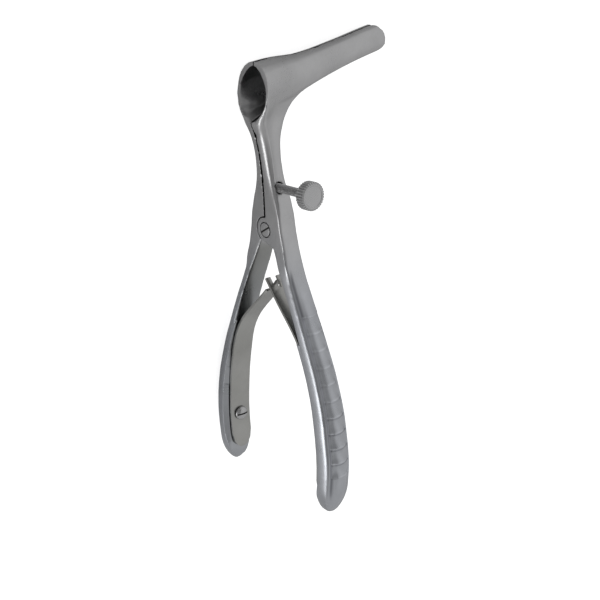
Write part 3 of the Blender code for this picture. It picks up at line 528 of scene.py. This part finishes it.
def dressGrip(piece, side):
    count = len(piece.data.vertices)
    places = np.empty(count * 3)
    piece.data.vertices.foreach_get("co", places)
    turn, shift = np.array(toTool.to_3x3()), np.array(toTool.translation)
    x, y, z = ((places.reshape(-1, 3) @ turn.T + shift) / mm).T
    x = x * side

    heights = np.arange(-83.0, -4.0, 0.5)
    nearby = [np.abs(z - height) < 0.3 for height in heights]
    heights = np.array([height for height, near in zip(heights, nearby) if near.any()])
    nearby = [near for near in nearby if near.any()]
    front = np.interp(z, heights, [y[near].min() for near in nearby])
    ridges = [grip["firstRidge"] - i * grip["ridgePitch"] for i in range(grip["grooves"] + 1)]
    plain = [
        (height, x[near].max()) for height, near in zip(heights, nearby) if not ridges[-1] < height < ridges[0]
    ]
    crests = [(height, x[np.abs(z - height) < 0.2].max()) for height in ridges]
    knots = np.array(sorted(plain + crests))
    outer = np.interp(z, knots[:, 0], knots[:, 1])

    start, end = grip["fadeOut"]
    whole = sCurve(-z, -grip["top"], -grip["whole"]) * sCurve(z, end, start)
    below = np.clip((ridges[0] - z) / grip["ridgePitch"], 0, grip["grooves"])
    inGrooves = ((below > 0) & (below < grip["grooves"])).astype(float)
    depth = outer - x
    wholeInside = sCurve(-z, *grip["insideFrom"]) * sCurve(z, end, start)
    inset, inner = y - front, grip["thickness"] - depth
    newInner, newInset = reshapeCorner(inner, inset, grip["forgedRadius"], grip["innerBreak"])
    depth, inset = depth + (inner - newInner) * wholeInside, inset + (newInset - inset) * wholeInside
    share = np.clip(1 - depth / grip["thickness"], 0, 1)
    fall = grip["drop"] * share ** grip["dropPower"] - grip["forward"]
    inset = inset + fall * whole * np.clip(1 - inset / grip["frontReach"], 0, 1)
    y = np.where(wholeInside > 0.01, front + inset, y)
    inward = y - front
    lineFrom = grip["line"]["from"]
    onFace = sCurve(depth, 1.6, 1.3) * sCurve(inward, lineFrom - 0.6, lineFrom - 0.3)
    line = bell(inward, lineFrom, grip["line"]["halfWidth"]) * whole * onFace
    between = sCurve(inward, lineFrom - 0.1, lineFrom + 0.4) * onFace * inGrooves
    underRidge = (below % 1.0) * grip["ridgePitch"]
    lower = grip["upperStep"] + (1 - grip["upperStep"]) * sCurve(below, *grip["lowerGrooves"])
    step = np.exp(-underRidge / grip["step"]["length"]) * sCurve(underRidge, -0.01, 0.15) * lower
    cut = depth * (grip["deepen"] - 1) + step * grip["step"]["depth"]
    depth = depth + cut * between + line * grip["line"]["depth"]
    x = np.where(wholeInside > 0.01, outer - depth, x)

    # Painted highlight and shade: above nought a painted highlight on the ridges and on the lip beyond the line,
    # below it painted shade in the hollow under each ridge and in the line
    toRidge = np.minimum(underRidge, grip["ridgePitch"] - underRidge)
    shares = grip["tintAndPaintedShading"]
    lipHighlight = bell(inward, lineFrom + shares["lipFrom"], 0.3) * whole * onFace
    hollow = lower * bell(underRidge, shares["hollowFrom"], 0.3)
    ridgeHighlightAndShade = shares["ridge"] * bell(toRidge, 0, 0.35) - shares["hollow"] * hollow
    tintAndPaintedShading = ridgeHighlightAndShade * between + shares["lipHighlight"] * lipHighlight - shares["line"] * line
    tintAndPaintedShading = np.where(z < grip["top"], tintAndPaintedShading, 0.0)
    mark = piece.data.attributes.new("paintedHighlightAndShade", "FLOAT", "POINT")
    mark.data.foreach_set("value", tintAndPaintedShading.astype(np.float32))

    tool = np.column_stack((x * side, y, z)) * mm
    piece.data.vertices.foreach_set("co", ((tool - shift) @ turn).ravel())
    piece.data.update()


def thickenWall(piece, side):
    # The cavity's wall moves inward wherever it is thinner than the skin's grid can hold
    shape = bmesh.new()
    shape.from_mesh(piece.data)
    tree = BVHTree.FromBMesh(shape)
    moves = []
    for vert in shape.verts:
        place = toTool @ vert.co / mm
        inward = -side * vert.normal.dot(opens)
        if place.z < armSkin["funnelFrom"] or inward < 0.1 or abs(place.x) < 0.4:
            continue
        hit = tree.ray_cast(vert.co - vert.normal * 0.02 * mm, -vert.normal, 2 * mm)
        if hit[0] is not None and hit[3] < armSkin["wall"]:
            moves.append((vert, vert.normal * (armSkin["wall"] - hit[3])))
    for vert, move in moves:
        vert.co += move
    shape.to_mesh(piece.data)
    shape.free()


def buildArm(node, name, body, side):
    # side is 1 for the right arm and -1 for the left
    piece = mergedCopy(node, name)
    thickenWall(piece, side)
    points = crispEdgePoints(piece)
    applyModifier(
        piece, "REMESH", mode="SHARP", octree_depth=armSkin["octree"], scale=armSkin["fill"],
        sharpness=1.0, use_remove_disconnected=False,
    )
    tree = KDTree(len(points))
    for i, point in enumerate(points):
        tree.insert(point, i)
    tree.balance()
    away = piece.vertex_groups.new(name="awayFromEdges")
    soft = piece.vertex_groups.new(name="softShank")
    crisp = []
    low, whole, fading, high = armSkin["shank"]
    for vert in piece.data.vertices:
        distance = tree.find(vert.co)[2]
        height = (toTool @ vert.co).z / mm
        away.add([vert.index], min(1.0, distance / armSkin["keepNear"]), "REPLACE")
        if low < height < high:
            share = sCurve(height, low, whole) * sCurve(height, high, fading)
            soft.add([vert.index], float(share) * min(1.0, distance / armSkin["shankGap"]), "REPLACE")
        crisp.append(distance < armSkin["crispWithin"])
    applyModifier(piece, "SMOOTH", factor=0.5, iterations=armSkin["passes"], vertex_group="awayFromEdges")
    applyModifier(piece, "SMOOTH", factor=0.5, iterations=armSkin["shankPasses"], vertex_group="softShank")
    piece.vertex_groups.clear()
    applyModifier(piece, "SMOOTH", factor=0.5, iterations=armSkin["allPasses"])
    dressGrip(piece, side)
    selectOnly(piece)
    bpy.ops.object.shade_smooth_by_angle(angle=math.radians(armSkin["shadeAngle"]))
    for edge in piece.data.edges:
        if edge.use_edge_sharp and not (crisp[edge.vertices[0]] and crisp[edge.vertices[1]]):
            edge.use_edge_sharp = False
    finishPiece(piece, [armSteel], body, "arm_steel", node)
    print(name, len(piece.data.polygons), "faces")


buildArm("left_arm", "leftArmSkin", "left_side", -1)
buildArm("right_arm", "rightArmSkin", "right_side", 1)
print("arms done")

# Leaf springs: rolled strip with rounded edges, lying bent between the two arms
leafStrip = {
    "edge": 0.16, "angle": 40,
    "lift": (18.3, 41.0),            # where a leaf leaves its handle: aside and below the pivot
    "crossing": (0.5, 0.0, -16.6),   # where the two hook together
}


def buildLeaf(node, name):
    piece = mergedCopy(node, name)
    softenEdges(piece, leafStrip["edge"], leafStrip["angle"], 3)
    piece.data.materials.append(leafSteel)
    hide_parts(node)
    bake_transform(piece)
    print(name, len(piece.data.polygons), "faces")


buildLeaf("left_spring", "leftLeaf")
buildLeaf("right_spring", "rightLeaf")
print("leaves done")

# Thumb set screw: rolled thread, turned shoulder and a straight-knurled disc
setScrew = {
    "pitch": 0.62,
    "threadDepth": 0.2,
    "threadSteps": 28,
    "pointLength": 0.5,
    "shoulder": 0.1,           # how far the turned shoulder stands out from the thread
    "disc": 3.0,               # thickness of the knurled disc
    "teeth": 32,
    "toothDepth": 0.3,
    "rim": 0.3,                # bevel round the disc's faces
    "dish": 0.12,              # how far the middle of the outer face is turned down
}


def buildSetScrew():
    low, high = toolReach("set_screw")
    radius = 0.5 * (high.z - low.z)
    centre = 0.5 * (high.z + low.z)
    start, end = low.x, high.x
    points = [toTool @ vert.co / mm for vert in frame["nodes"]["set_screw"].data.vertices]
    stem = max(point.z - centre for point in points if point.x < end - setScrew["disc"] - 1)
    core = stem - setScrew["threadDepth"]
    under = end - setScrew["disc"]
    point = setScrew["pointLength"]
    shoulder = stem + setScrew["shoulder"]
    outline = [
        (0.55 * core, start), (core, start + point), (core, under - 0.35),
        (shoulder, under - 0.3), (shoulder, under + 0.2),
    ]
    body = turnedPiece("setScrew", 48, outline)

    # Thread: a V profile turned up the stem
    selectNothing()
    turns = int((under - 0.5 - start - point) / setScrew["pitch"])
    profile = (core * mm, 0, (start + point) * mm)
    bpy.ops.mesh.primitive_circle_add(
        vertices=3, radius=setScrew["threadDepth"] * mm, fill_type="NOTHING",
        location=profile, rotation=(math.pi / 2, 0, 0),
    )
    thread = bpy.context.object
    applyPlace(thread)
    bpy.ops.object.mode_set(mode="EDIT")
    bpy.ops.mesh.select_all(action="SELECT")
    bpy.ops.transform.rotate(value=math.pi / 2, orient_axis="Y", center_override=profile)
    bpy.ops.object.mode_set(mode="OBJECT")
    applyModifier(
        thread, "SCREW", axis="Z", screw_offset=setScrew["pitch"] * mm, iterations=turns,
        steps=setScrew["threadSteps"], render_steps=setScrew["threadSteps"], use_normal_calculate=True,
    )
    bpy.ops.object.mode_set(mode="EDIT")
    bpy.ops.mesh.select_all(action="DESELECT")
    bpy.ops.mesh.select_mode(type="EDGE")
    bpy.ops.mesh.select_non_manifold()
    bpy.ops.mesh.fill_holes(sides=0)
    bpy.ops.mesh.select_all(action="SELECT")
    bpy.ops.mesh.normals_make_consistent(inside=False)
    bpy.ops.object.mode_set(mode="OBJECT")

    # Disc: four points to a tooth, two out and two in
    rim, depth = setScrew["rim"], setScrew["toothDepth"]
    faceRadius = radius - rim - depth
    outline = [(faceRadius, under), (radius, under + rim), (radius, end - rim), (faceRadius, end)]
    disc = turnedPiece("knurledDisc", 4 * setScrew["teeth"], outline)
    for vert in disc.data.vertices:
        reach = math.hypot(vert.co.x, vert.co.y)
        tooth = math.atan2(vert.co.y, vert.co.x) / math.tau * setScrew["teeth"]
        inward = abs((tooth % 1.0) - 0.5) < 0.2
        if inward and reach > (radius - 0.5 * depth) * mm:
            vert.co.xy *= (radius - depth) / radius
    bpy.ops.object.mode_set(mode="EDIT")
    pickFaces(disc, lambda centre, normal: normal.z > 0.9 and centre.z > end - 0.01)
    bpy.ops.mesh.inset(thickness=0.35 * mm)
    bpy.ops.mesh.inset(thickness=0.15 * mm, depth=-setScrew["dish"] * mm)
    bpy.ops.object.mode_set(mode="OBJECT")
    selectOnly(disc)
    bpy.ops.object.shade_smooth_by_angle(angle=math.radians(25))

    selectOnly(body)
    bpy.ops.object.shade_smooth_by_angle(angle=math.radians(35))
    thread.select_set(True)
    disc.select_set(True)
    bpy.ops.object.join()
    putOnTool(body, (0, 0.5 * (low.y + high.y), centre), Matrix.Rotation(math.pi / 2, 4, "Y"))
    finishPiece(body, [screwSteel], "set_screw", "screw_steel", "set_screw")
    print("setScrew", len(body.data.polygons), "faces")


buildSetScrew()

# Pivot screw: flat slotted head let into the lock, and its riveted end behind
pivotScrew = {
    "stem": 1.2, "head": 2.0, "headHeight": 0.9, "break": 0.09, "crown": 0.06,
    "slot": {"length": 5.0, "width": 0.5, "depth": 0.42}, "slotTurn": 30,
}


def buildPivotScrew():
    low, high = toolReach("pivot_screw")
    front, back = -low.y, -high.y        # heights along the lathe's axis, which points at the user
    head, stem, crown = pivotScrew["head"], pivotScrew["stem"], pivotScrew["crown"]
    under = front - pivotScrew["headHeight"]
    outline = [
        (0.5 * stem, back), (stem - 0.1, back + 0.02), (stem, back + 0.12), (stem, under), (head, under),
        (head, front - 2.2 * crown), (0.8 * head, front - 0.9 * crown),
        (0.45 * head, front - 0.2 * crown), (0.1 * head, front),
    ]
    piece = turnedPiece("pivotScrewTurned", 64, outline)
    cutSlot(piece, pivotScrew["slot"], front, pivotScrew["slotTurn"])
    softenEdges(piece, pivotScrew["break"], 40, 2)
    putOnTool(piece, (0, 0, 0), Matrix.Rotation(math.pi / 2, 4, "X"))
    finishPiece(piece, [screwSteel, paintedSlotShade], "left_side", "screw_steel", "pivot_screw")


buildPivotScrew()

# Spring screws: round-headed, slotted, one through the foot of each leaf
springScrew = {
    "stem": 1.0, "head": 2.2, "headHeight": 1.2, "edgeHeight": 0.3, "break": 0.08,
    "dome": (0, 12, 26, 40, 54, 68, 82),      # degrees from the head's edge toward its middle
    "slot": {"length": 6.0, "width": 0.5, "depth": 0.5}, "slotTurn": 90,
}


def buildSpringScrew(node, name, body, side):
    low, high = toolReach(node)
    centre = 0.5 * (low.z + high.z)
    inner, outer = (low.x, high.x) if side > 0 else (-high.x, -low.x)
    head, stem = springScrew["head"], springScrew["stem"]
    top, seat = -inner, -inner - springScrew["headHeight"]
    rise = springScrew["headHeight"] - springScrew["edgeHeight"]
    outline = [(0.5 * stem, -outer), (stem, 0.4 - outer), (stem, seat), (head, seat)]
    for degrees in springScrew["dome"]:
        turn = math.radians(degrees)
        outline.append((head * math.cos(turn), top - rise * (1 - math.sin(turn))))
    piece = turnedPiece(name, 56, outline)
    cutSlot(piece, springScrew["slot"], top, springScrew["slotTurn"])
    softenEdges(piece, springScrew["break"], 40, 2)
    turn = Matrix.Rotation(-math.pi / 2, 4, "Y")
    if side < 0:
        turn = Matrix.Rotation(math.pi, 4, "Z") @ turn
    putOnTool(piece, (0, 0, centre), turn)
    finishPiece(piece, [screwSteel, paintedSlotShade], body, "screw_steel", node)


buildSpringScrew("left_spring_screw", "leftSpringScrew", "left_side", -1)
buildSpringScrew("right_spring_screw", "rightSpringScrew", "right_side", 1)
print("screws done")

# Studio: a pale floor, a soft room that is lightest overhead, and a low softbox in front of the lock
studio = {
    "floorSize": 3.0,
    "floorColour": (0.85, 0.85, 0.85),
    "floorGlow": 0.78,      # seen by the camera alone, so that the floor is white and keeps its shadow
    "roomAxis": (0.87, 0.1, 0.3),      # in the speculum's own axes
    "roomLight": (0.55, 0.7),          # far from that axis, and along it
    "dimAxis": (0.7, -0.6, 0.3),       # the unlit side of the room, behind the viewer
    "dimming": 0.36,
}

selectNothing()
bpy.ops.mesh.primitive_plane_add(size=studio["floorSize"])
floor = bpy.context.object
floor.name = "floor"
applyPlace(floor)
floorLook = bpy.data.materials.new("paleFloor")
floorLook.use_nodes = True
nodes, links = floorLook.node_tree.nodes, floorLook.node_tree.links
shader = nodes["Principled BSDF"]
shader.inputs["Base Color"].default_value = (*studio["floorColour"], 1.0)
shader.inputs["Roughness"].default_value = 0.9
shader.inputs["Specular IOR Level"].default_value = 0.0
shader.inputs["Emission Color"].default_value = (1.0, 1.0, 1.0, 1.0)
rays = nodes.new("ShaderNodeLightPath")
glow = addMath(nodes, links, "MULTIPLY", rays.outputs["Is Camera Ray"], studio["floorGlow"])
links.new(glow, shader.inputs["Emission Strength"])
floor.data.materials.append(floorLook)

world = bpy.data.worlds.new("softRoom")
bpy.context.scene.world = world
world.use_nodes = True
nodes, links = world.node_tree.nodes, world.node_tree.links
direction = nodes.new("ShaderNodeTexCoord")


def roomAlong(axis):
    worldAxis = (toWorld.to_3x3() @ Vector(axis)).normalized()
    return addAlong(nodes, links, direction.outputs["Generated"], worldAxis)


overhead = addRamp(nodes, links, roomAlong(studio["roomAxis"]), 0.2, 1.0, *studio["roomLight"])
dimmed = addRamp(nodes, links, roomAlong(studio["dimAxis"]), 0.3, 0.9, 0.0, studio["dimming"])
links.new(addMath(nodes, links, "SUBTRACT", overhead, dimmed), nodes["Background"].inputs["Strength"])
nodes["Background"].inputs["Color"].default_value = (1.0, 1.0, 1.0, 1.0)

lamps = [     # place and aim in the speculum's own axes, mm
    {"name": "frontSoftbox", "place": (-35, -333, -128), "aim": (0, 0, -10), "size": 240, "brightness": 2.3},
]
for lamp in lamps:
    place, aim = toolPoint(*lamp["place"]), toolPoint(*lamp["aim"])
    bpy.ops.object.light_add(type="AREA", location=place)
    made = bpy.context.object
    made.name = lamp["name"]
    made.rotation_euler = (aim - place).to_track_quat("-Z", "Y").to_euler()
    made.data.shape = "SQUARE"
    made.data.size = lamp["size"] * mm
    made.data.energy = lamp["brightness"] * math.pi * made.data.size ** 2
print("studio done")

# The photograph's view, in the speculum's own axes: degrees round from its front, degrees up, and a slight tilt
camera = {
    "azimuth": 51.117,
    "elevation": 19.384,
    "tilt": -1.856,
    "distance": 304.2,
    "target": (0, -2.657, 0),
    "targetAt": (265.5, 229.9),      # where that point lies in the 600 wide picture
    "focalLength": 1073.2,           # in pixels of that picture
}


def placeCamera():
    azimuth, elevation, tilt = (math.radians(camera[name]) for name in ("azimuth", "elevation", "tilt"))
    level = math.cos(elevation)
    forward = Vector((-math.sin(azimuth) * level, math.cos(azimuth) * level, -math.sin(elevation)))
    right = Vector((math.cos(azimuth), math.sin(azimuth), 0))
    top = right.cross(forward)
    across = right * math.cos(tilt) + top * math.sin(tilt)
    upward = top * math.cos(tilt) - right * math.sin(tilt)
    column, row = camera["targetAt"]
    aside = across * ((column - 300) / camera["focalLength"]) + upward * ((300 - row) / camera["focalLength"])
    place = Vector(camera["target"]) - (aside + forward) * camera["distance"]
    turn = Matrix((across, upward, -forward)).transposed()
    bpy.ops.object.camera_add()
    made = bpy.context.object
    made.matrix_world = toWorld @ Matrix.Translation(place * mm) @ turn.to_4x4()
    made.data.lens = camera["focalLength"] * made.data.sensor_width / 600
    made.data.clip_start = 0.01
    return made


bpy.context.scene.camera = placeCamera()
bpy.context.scene.view_settings.view_transform = "Standard"
